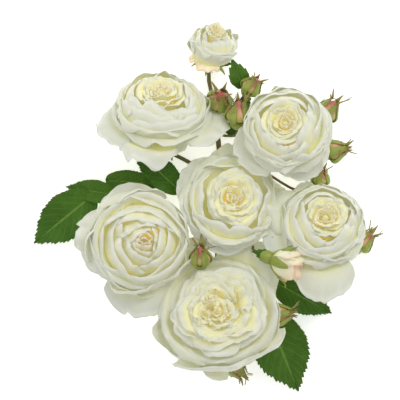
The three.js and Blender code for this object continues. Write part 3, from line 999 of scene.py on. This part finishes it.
def bloom_calyx(name):
    """Hip and folded-back sepals under an open bloom."""
    place = bloom_place(name)
    rng = np.random.default_rng(HABITS[name][2] + 5)
    height = 0.2 * place.depth
    radius = 0.42 * height + 0.06 * place.radius
    things = [hip(place, height + 0.6 * MM, radius)]
    local = place.inward(node_points(name + "_calyx"))
    tips = np.hypot(local[:, 0], local[:, 1])
    lead = local[np.argmax(tips)]
    first = math.atan2(lead[1], lead[0])
    for k in range(5):
        line = arc_line(0.5 * radius, 0.86 * height, 0.52 * place.radius * rng.uniform(0.95, 1.15),
                        82, 140 + rng.uniform(-12, 16))
        things += sepal(place, rng, first + 2 * math.pi * k / 5, line, 0.15 * place.radius,
                        (4, 3, 0, 2, 0)[k])
    sheets(name + "_green", things, sizes().sepal_thickness,
           "calyx", calyx_finish(), name + "_calyx")


def bud_ring(share_up, radius):
    """A closed bud's outline: round below, drawn in to a point."""
    t = np.clip(share_up, 0.0, 1.0)
    belly = np.sin(math.pi * t ** 0.60) ** 0.85 * (1.0 - 0.30 * t)
    return radius * belly + 0.12 * radius * (1.0 - t)


def closed_bud(node):
    """Hip, furled petals and five clasping sepals with long tips."""
    place = long_place(node_points(node))
    rng = np.random.default_rng(sum(ord(letter) for letter in node))
    size, radius = 1.04 * place.depth, 1.16 * place.radius
    neck = 0.27 * size
    body = size - neck
    blank = ball(30, 22)
    flat = blank_points(blank)
    t = 0.5 * (flat[:, 2] + 1.0)
    turn = np.arctan2(flat[:, 1], flat[:, 0])
    ring = np.minimum(1.0, 3.0 * np.hypot(flat[:, 0], flat[:, 1]))
    swirl = 1.0 + 0.05 * np.cos(3 * (turn + 2.2 * t)) * t
    r = 0.93 * bud_ring(t, radius) * ring * swirl
    points = place.outward(r * np.cos(turn), r * np.sin(turn), neck + 0.97 * body * t)
    core = shaped("furled", blank, points, 0.0, 0.5)
    uv_by_height(core, t, turn)
    smooth_faces(core)
    core.name = node + "_furled_petals"
    done(core, "closed_bud", bud_core_finish(), node)
    things = [hip(place, neck + 1.2 * MM, 0.62 * radius)]
    first = rng.uniform(0, 2 * math.pi)
    for k in range(5):
        tail = rng.uniform(0.12, 0.50) * body
        flare = rng.uniform(0.4, 1.1)

        def line(v, tail=tail, flare=flare):
            up = v * (0.97 * body + tail)
            inside = np.clip(up / body, 0.0, 0.97)
            over = np.maximum(0.0, up / body - 0.52)
            r = bud_ring(inside, radius) + 0.35 * MM
            r = r + flare * radius * (0.5 * over + 1.1 * over ** 2)
            return r, neck - 0.4 * MM + up
        compass = first + 2 * math.pi * k / 5 + rng.uniform(-0.08, 0.08)
        things += sepal(place, rng, compass, line, 0.50 * radius, (4, 0, 3, 1, 0)[k])
    sheets(node + "_sepals", things, sizes().sepal_thickness,
           "closed_bud", bud_finish(), node)


def uv_by_height(thing, heights, turns):
    """Lay a ball's UV map out by turn and height, for patterns that follow its length."""
    mesh = thing.data
    loops = np.empty(len(mesh.loops), dtype=np.int32)
    mesh.loops.foreach_get("vertex_index", loops)
    pairs = np.stack((0.5 + turns[loops] / (2 * math.pi), heights[loops]), axis=1)
    mesh.uv_layers.active.data.foreach_set("uv", pairs.astype(np.float32).ravel())


def half_open_bud():
    """The opening bud: pale furled petals that part at their tips, in a lime calyx."""
    petals = node_points("half_open_bud_petals")
    calyx = node_points("half_open_bud_calyx")
    axis = unit(petals.mean(0) - calyx.mean(0))
    middle = calyx.mean(0)
    low = ((calyx - middle) @ axis).min()
    high = ((petals - middle) @ axis).max()
    away = petals - middle - np.outer((petals - middle) @ axis, axis)
    radius = np.percentile(np.linalg.norm(away, axis=1), 92)
    place = Place(middle + axis * low, axis, radius, high - low)
    rng = np.random.default_rng(97)
    neck = 0.26 * place.depth
    things = []
    rows = ((3, 1.0, 0.92, 74, 0.5, 0.18), (3, 0.82, 1.0, 78, 0.35, 0.26),
            (3, 0.60, 1.0, 86, 0.25, 0.24), (3, 0.38, 0.98, 100, 0.15, 0.15),
            (2, 0.20, 0.97, 130, 0.08, 0.05))
    for row, (count, ring, top, half_turn, curl, inward) in enumerate(rows):
        for k in range(count):
            reach = ring * radius * rng.uniform(0.96, 1.06)
            height = place.depth * top * rng.uniform(1.0, 1.08) - neck
            line = dome_line(0.25 * radius * ring + 0.4 * MM, neck, reach, height,
                             (1.0 - inward) * reach)
            petal = Petal(rng, line, reach * math.radians(half_turn),
                          2.4 * row + 2 * math.pi * k / count + rng.uniform(-0.2, 0.2),
                          curl=1.6 * MM * curl, ruffle=0.5 * MM, tuck=0.8 * MM, ring=0.5 * reach,
                          rounding=0.26, point=0.05, nicks=2)
            things.append(petal.piece(place, "petal", 20, 16, 0.2 * row, rng.uniform(0.0, 1.0)))
    sheets("half_open_bud_rosette", things, sizes().petal_thickness,
           "inner_petals", half_open_finish(), "half_open_bud_petals")
    greens = [hip(place, neck + 0.8 * MM, 0.46 * radius)]
    for k in range(5):
        spread = rng.uniform(0.85, 1.35)

        def line(v, spread=spread):
            up = v * place.depth * 0.62
            r = (0.30 + 0.78 * np.clip(v / 0.45, 0, 1) ** 0.7) * radius
            r = r + radius * spread * v ** 3 * 0.5
            return r + 0.4 * MM, neck - 0.5 * MM + up * (1.0 - 0.25 * v ** 3)
        compass = 0.4 + 2 * math.pi * k / 5
        greens += sepal(place, rng, compass, line, 0.44 * radius, (3, 0, 2, 0, 0)[k])
    sheets("half_open_bud_green", greens, sizes().sepal_thickness,
           "calyx", calyx_finish(), "half_open_bud_calyx")


# ---- leaflets

def leaf_sheet(name, foot, tip, half_width, lift, rng, tone, teeth):
    """One serrated blade from foot to tip; lift gives its height over that line."""
    blank = sheet(20, 4 * teeth)
    flat = blank_points(blank)
    u, v = flat[:, 0], 0.5 * (flat[:, 1] + 1.0)
    span = 1.05 * (tip - foot)
    reach = np.linalg.norm(span)
    axis = span / reach
    side = unit(np.cross(np.array((0.0, 0.0, 1.0)), axis))
    up = np.cross(axis, side)
    full = half_width * np.sin(math.pi * np.clip(v, 1e-4, 1 - 1e-4) ** 0.72) ** (0.60 + 0.55 * v)
    tooth = (v * teeth) % 1.0
    edge = np.abs(u) ** 6
    bite = half_width * 0.075 * (tooth - 0.35) * ease(0.03, 0.15, v) * (1.0 - ease(0.93, 1.0, v))
    b = u * full + np.sign(u) * edge * bite
    a = v * reach + edge * tooth * 0.5 * reach / teeth * ease(0.03, 0.15, v)
    vein = np.abs(np.sin(math.pi * 9.0 * (v - 0.30 * np.abs(u))))
    relief = sizes().leaf_relief
    wave = Waves(rng, (2.1, 3.7, 5.2))
    h = lift(a, b) + relief * vein * (1.0 - u * u) * ease(0.0, 0.15, v)
    h = h - 1.1 * relief * np.exp(-(u / 0.07) ** 2) + 0.10 * np.abs(b)
    h = h + 0.9 * relief * wave(2.0 * v + 0.4 * np.sign(u)) * u * u
    points = foot + np.outer(a, axis) + np.outer(b, side) + np.outer(h, up)
    return shaped(name, blank, points, 0.0, tone)


def leaflet(node):
    """A leaflet that keeps the arch and the place of its solid."""
    points = node_points(node)
    place = long_place(points)
    axis = place.axis
    tip = place.foot + axis * place.depth
    side = unit(np.cross(np.array((0.0, 0.0, 1.0)), axis))
    up = np.cross(axis, side)
    away = points - place.foot
    a, b, h = away @ axis, away @ side, away @ up
    terms = np.stack((np.ones_like(a), a, b, a * a, a * b, b * b), axis=1)
    fit = np.linalg.lstsq(terms, h, rcond=None)[0]
    half_width = 0.5 * (np.percentile(b, 99) - np.percentile(b, 1))
    offset = 0.5 * (np.percentile(b, 99) + np.percentile(b, 1))

    def lift(a, b):
        b = b + offset
        return fit[0] + fit[1] * a + fit[2] * b + fit[3] * a * a + fit[4] * a * b + fit[5] * b * b
    rng = np.random.default_rng(sum(ord(letter) for letter in node))
    foot = place.foot + side * offset
    thing = leaf_sheet(node + "_blade", foot, tip + side * offset, half_width, lift, rng,
                       rng.uniform(0.0, 0.9), sizes().leaf_teeth)
    sheets(thing.name, [thing], sizes().leaf_thickness, "leaf", leaf_finish(), node)


# Small bracts on the flower stalks: the piece whose low end they grow by, how far their foot is
# from it and how far they reach, and half their width, in millimetres.
BRACTS = (
    ("top_bud_3", (-2.0, 1.0, 1.0), (-7.0, 17.0, 5.0), 6.5),
    ("top_bloom_calyx", (1.5, -1.5, 1.0), (13.0, -2.0, 3.0), 2.8),
    ("half_open_bud_calyx", (-1.0, 2.0, 0.0), (-13.0, 5.0, 4.0), 4.0),
    ("half_open_bud_calyx", (-1.0, 2.0, -2.0), (1.0, 17.0, 3.0), 4.4),
    ("upper_left_bloom_calyx", (0.0, -2.0, 0.0), (-8.0, -12.0, 3.0), 3.2),
)


def bracts():
    """The little leaves that sit where a stalk meets its bud or bloom."""
    things = []
    for number, (node, foot, reach, half_width) in enumerate(BRACTS):
        points = node_points(node)
        low = points[np.argsort(points[:, 2])[:12]].mean(0)
        rng = np.random.default_rng(500 + number)
        start = low + np.array(foot) * MM
        span = np.linalg.norm(reach) * MM

        def lift(a, _, arch=0.12 * span, span=span):
            return 4.0 * arch * (a / span) * (1.0 - a / span)
        things.append(leaf_sheet("bract", start, start + np.array(reach) * MM, half_width * MM,
                                 lift, rng, 0.9, 5))
    sheets("stalk_bracts", things, sizes().leaf_thickness,
           "leaf", leaf_finish(), "top_leaflet")


# ---- stem

def smooth_stem():
    """The stem's solids, merged, remeshed fine and smoothed, with swollen joints kept."""
    thing = bpy.data.objects.new("stem_bark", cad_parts["stem"].data.copy())
    bpy.context.scene.collection.objects.link(thing)
    choose(thing)
    bpy.ops.object.mode_set(mode="EDIT")
    bpy.ops.mesh.select_all(action="SELECT")
    bpy.ops.mesh.remove_doubles(threshold=1e-6)
    bpy.ops.object.mode_set(mode="OBJECT")
    modified(thing, "REMESH", mode="VOXEL", voxel_size=sizes().bark_grain)
    modified(thing, "SMOOTH", factor=0.5, iterations=5)
    smooth_faces(thing)
    done(thing, "stem", stem_finish(), "stem")


# ---- stage

def stage():
    """Pale floor, soft studio light and a long lens straight above."""
    middle = 0.5 * (Vector(FRAME_LOW) + Vector(FRAME_HIGH))
    wide = FRAME_HIGH[0] - FRAME_LOW[0]
    deselect()
    bpy.ops.mesh.primitive_grid_add(x_subdivisions=12, y_subdivisions=12, size=8.0)
    floor = bpy.context.object
    floor.name = "floor"
    for point in floor.data.vertices:
        point.co.z = FRAME_LOW[2] - 0.1 * MM
    floor.data.materials.append(floor_finish())
    scene = bpy.context.scene
    scene.view_settings.view_transform = "Standard"
    scene.view_settings.look = "None"
    world = bpy.data.worlds.new("studio")
    world.use_nodes = True
    sky = world.node_tree.nodes["Background"]
    sky.inputs["Color"].default_value = (1.0, 1.0, 1.0, 1.0)
    sky.inputs["Strength"].default_value = SURROUND
    scene.world = world
    for name, where, size, power in (("key", (0.55, 0.75, 1.0), 0.7, 6.6),
                                     ("fill", (-0.8, 0.3, 0.9), 0.9, 2.5)):
        lamp = bpy.data.lights.new(name, "AREA")
        lamp.energy = power
        lamp.size = size
        thing = bpy.data.objects.new(name, lamp)
        thing.location = middle + Vector(where)
        thing.rotation_euler = (-Vector(where)).to_track_quat("-Z", "Y").to_euler()
        scene.collection.objects.link(thing)
    lens = bpy.data.cameras.new("long_lens")
    camera = bpy.data.objects.new("long_lens", lens)
    away = 2.5
    seen = 1.165 * wide
    camera.location = middle + Vector((-0.012 * wide, 0.0253 * wide, away))
    lens.lens = lens.sensor_width * (away - 0.012) / seen
    lens.clip_end = 50.0
    scene.collection.objects.link(camera)
    scene.camera = camera


# ---- operators and panel

class ROSE_OT_stage(bpy.types.Operator):
    """Set the floor, the lights and the camera"""
    bl_idname = "rose.stage"
    bl_label = "Stage"

    def execute(self, context):
        stage()
        return {"FINISHED"}


class ROSE_OT_stem(bpy.types.Operator):
    """Model the woody stem with its stalks and prickles"""
    bl_idname = "rose.stem"
    bl_label = "Stem"

    def execute(self, context):
        smooth_stem()
        return {"FINISHED"}


class ROSE_OT_calyxes(bpy.types.Operator):
    """Model the hip and sepals under each open bloom"""
    bl_idname = "rose.calyxes"
    bl_label = "Calyxes"

    def execute(self, context):
        for name in BLOOMS:
            bloom_calyx(name)
        return {"FINISHED"}


class ROSE_OT_inner_petals(bpy.types.Operator):
    """Model the cup and heart petals of each open bloom"""
    bl_idname = "rose.inner_petals"
    bl_label = "Inner petals"

    def execute(self, context):
        for name in BLOOMS:
            inner_petals(name)
        return {"FINISHED"}


class ROSE_OT_guard_petals(bpy.types.Operator):
    """Model each broad outer petal"""
    bl_idname = "rose.guard_petals"
    bl_label = "Guard petals"

    def execute(self, context):
        for node in GUARDS:
            guard_petal(node)
        return {"FINISHED"}


class ROSE_OT_buds(bpy.types.Operator):
    """Model the closed buds and the half-open bud"""
    bl_idname = "rose.buds"
    bl_label = "Buds"

    def execute(self, context):
        for node in BUDS:
            closed_bud(node)
        half_open_bud()
        return {"FINISHED"}


class ROSE_OT_leaflets(bpy.types.Operator):
    """Model each serrated leaflet and the small bracts"""
    bl_idname = "rose.leaflets"
    bl_label = "Leaflets"

    def execute(self, context):
        for node in LEAFLETS:
            leaflet(node)
        bracts()
        return {"FINISHED"}


OPERATORS = (ROSE_OT_stage, ROSE_OT_stem, ROSE_OT_calyxes, ROSE_OT_inner_petals,
             ROSE_OT_guard_petals, ROSE_OT_buds, ROSE_OT_leaflets)


class ROSE_PT_panel(bpy.types.Panel):
    """Sizes, colours and steps of the rose spray"""
    bl_label = "Cut rose spray"
    bl_idname = "ROSE_PT_panel"
    bl_space_type = "VIEW_3D"
    bl_region_type = "UI"
    bl_category = "Rose"

    def draw(self, context):
        column = self.layout.column()
        for group in (context.scene.rose_sizes, context.scene.rose_colours):
            for key in group.__annotations__:
                column.prop(group, key)
        for operator in OPERATORS:
            column.operator(operator.bl_idname)


CLASSES = (RoseSizes, RoseColours, *OPERATORS, ROSE_PT_panel)


def register():
    for item in CLASSES:
        bpy.utils.register_class(item)
    bpy.types.Scene.rose_sizes = bpy.props.PointerProperty(type=RoseSizes)
    bpy.types.Scene.rose_colours = bpy.props.PointerProperty(type=RoseColours)


def unregister():
    del bpy.types.Scene.rose_colours
    del bpy.types.Scene.rose_sizes
    for item in reversed(CLASSES):
        bpy.utils.unregister_class(item)


def main():
    register()
    bpy.ops.rose.stage()
    bpy.ops.rose.stem()
    bpy.ops.rose.calyxes()
    bpy.ops.rose.inner_petals()
    bpy.ops.rose.guard_petals()
    bpy.ops.rose.buds()
    bpy.ops.rose.leaflets()


if __name__ == "__main__":
    main()
